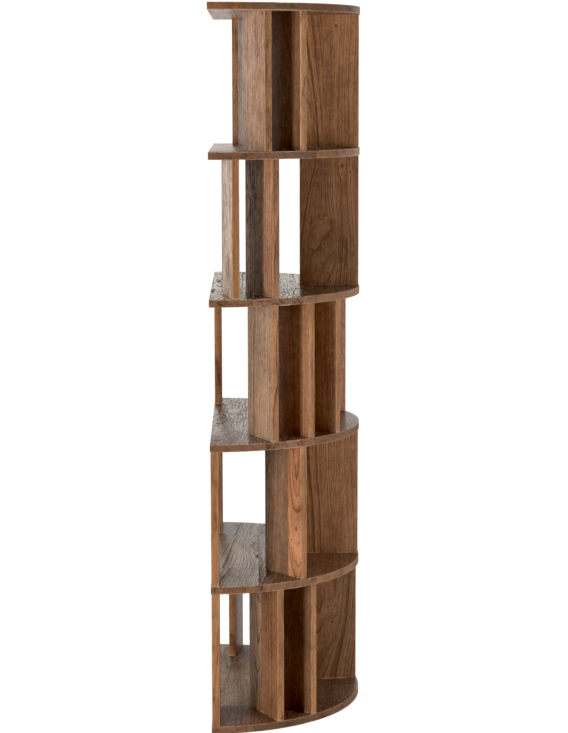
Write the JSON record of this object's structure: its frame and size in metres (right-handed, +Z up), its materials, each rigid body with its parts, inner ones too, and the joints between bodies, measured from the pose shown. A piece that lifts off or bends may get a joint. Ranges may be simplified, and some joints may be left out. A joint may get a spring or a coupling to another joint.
{
  "type": "half-round open bookcase",
  "caption": "Tall half-round wall bookcase: half-disc shelves of glued reclaimed planks, spaced by radial upright boards that divide each open bay.",
  "frame": {"origin": "on the floor, in the middle of the bounding box of the bookcase", "axes": "+Z up; +Y towards the wall that the flat back stands against; -Y the round front; +X along the wall, to the right of someone who faces the front"},
  "size_m": [0.9, 0.45, 2.107],
  "materials": {
    "brown_wood": "mid-brown reclaimed wood, sanded and clear satin lacquer",
    "dark_wood": "dark weathered reclaimed wood with open grain, clear satin lacquer",
    "grey_wood": "greyish weathered reclaimed wood, clear satin lacquer",
    "honey_wood": "honey-brown reclaimed wood, sanded and clear satin lacquer",
    "red_wood": "red-brown reclaimed wood, clear satin lacquer",
    "shelf_brown_wood": "mid-brown reclaimed wood with strong cathedral grain, clear satin lacquer"
  },
  "bodies": {
    "root": {"bay_1_front_upright": "brown_wood", "bay_1_left_end_upright": "honey_wood", "bay_1_left_front_upright": "brown_wood", "bay_1_left_upright_inner_plank": "grey_wood", "bay_1_left_upright_outer_plank": "honey_wood", "bay_1_right_end_upright": "red_wood", "bay_1_right_upright": "brown_wood", "bay_2_front_upright": "brown_wood", "bay_2_left_end_upright": "honey_wood", "bay_2_left_upright_inner_plank": "brown_wood", "bay_2_left_upright_outer_plank": "honey_wood", "bay_2_right_end_upright": "red_wood", "bay_2_right_upright": "brown_wood", "bay_3_front_upright": "brown_wood", "bay_3_left_front_upright": "honey_wood", "bay_3_left_upright": "grey_wood", "bay_3_right_end_upright": "red_wood", "bay_3_right_front_upright": "red_wood", "bay_3_right_upright": "brown_wood", "bay_4_front_upright": "brown_wood", "bay_4_left_end_upright": "honey_wood", "bay_4_left_upright_inner_plank": "dark_wood", "bay_4_left_upright_outer_plank": "honey_wood", "bay_4_right_end_upright": "brown_wood", "bay_4_right_upright": "brown_wood", "bay_5_front_upright_inner_plank": "brown_wood", "bay_5_front_upright_outer_plank": "brown_wood", "bay_5_left_front_upright": "brown_wood", "bay_5_left_upright": "honey_wood", "bay_5_right_end_upright": "brown_wood", "bay_5_right_upright": "brown_wood", "shelf_1_back_left_plank": "shelf_brown_wood", "shelf_1_back_middle_plank": "grey_wood", "shelf_1_back_right_plank": "shelf_brown_wood", "shelf_1_front_plank": "shelf_brown_wood", "shelf_1_middle_plank": "honey_wood", "shelf_2_back_left_plank": "grey_wood", "shelf_2_back_middle_plank": "grey_wood", "shelf_2_back_right_plank": "shelf_brown_wood", "shelf_2_front_plank": "honey_wood", "shelf_2_middle_plank": "shelf_brown_wood", "shelf_3_back_left_plank": "shelf_brown_wood", "shelf_3_back_middle_plank": "shelf_brown_wood", "shelf_3_back_right_plank": "grey_wood", "shelf_3_front_plank": "shelf_brown_wood", "shelf_3_middle_plank": "honey_wood", "shelf_4_back_left_plank": "honey_wood", "shelf_4_back_middle_plank": "shelf_brown_wood", "shelf_4_back_right_plank": "grey_wood", "shelf_4_front_plank": "grey_wood", "shelf_4_middle_plank": "shelf_brown_wood", "shelf_5_back_left_plank": "shelf_brown_wood", "shelf_5_back_middle_plank": "grey_wood", "shelf_5_back_right_plank": "shelf_brown_wood", "shelf_5_front_plank": "grey_wood", "shelf_5_middle_plank": "shelf_brown_wood", "shelf_6_back_plank": "red_wood", "shelf_6_front_plank": "shelf_brown_wood", "shelf_6_middle_plank": "shelf_brown_wood"}
  },
  "joints": []
}
